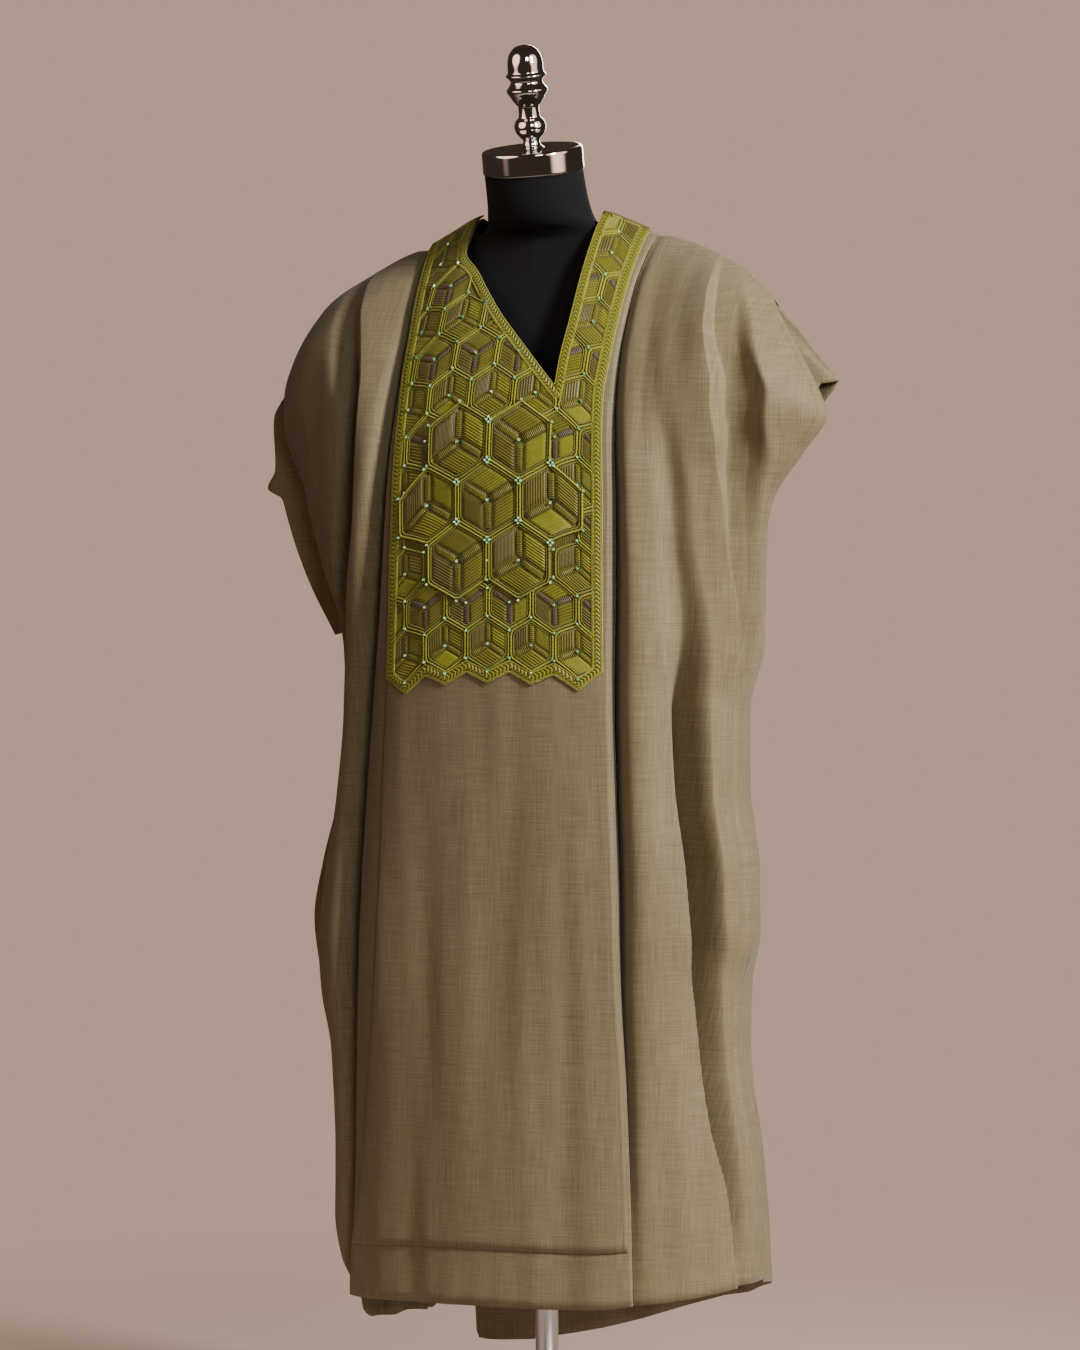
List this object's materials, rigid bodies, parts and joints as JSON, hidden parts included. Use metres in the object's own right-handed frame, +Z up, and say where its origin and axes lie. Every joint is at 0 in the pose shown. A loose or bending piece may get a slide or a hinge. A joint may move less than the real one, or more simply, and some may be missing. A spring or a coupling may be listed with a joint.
{
  "type": "grand boubou robe on limbless dress form",
  "caption": "Wide-sleeved robe with deep side folds, an embroidered plastron round an open V neck and a sewn-on front panel, worn by a limbless dress form on a pole stand.",
  "frame": {"origin": "on the floor, under the axis of the stand's pole, at the middle of the base's underside", "axes": "+Z up, -Y out of the front of the robe, +X to the wearer's left"},
  "size_m": [0.7353, 0.35, 1.6812],
  "materials": {
    "suiting_cloth": "plain-woven melange suiting with a slight sheen",
    "embroidery_thread": "raised satin-stitch embroidery",
    "form_jersey": "matte jersey cover",
    "chrome": "polished",
    "brushed_steel": "satin"
  },
  "bodies": {
    "root": {"robe_front": "suiting_cloth", "robe_back": "suiting_cloth", "centre_panel": "suiting_cloth", "plastron": "embroidery_thread", "sleeve_left_front": "suiting_cloth", "sleeve_left_back": "suiting_cloth", "sleeve_left_tuck": "suiting_cloth", "sleeve_right_front": "suiting_cloth", "sleeve_right_back": "suiting_cloth", "sleeve_right_tuck": "suiting_cloth", "form_torso": "form_jersey", "neck_cap": "chrome", "finial": "chrome", "pole": "brushed_steel", "stand_base": "brushed_steel"}
  },
  "joints": []
}
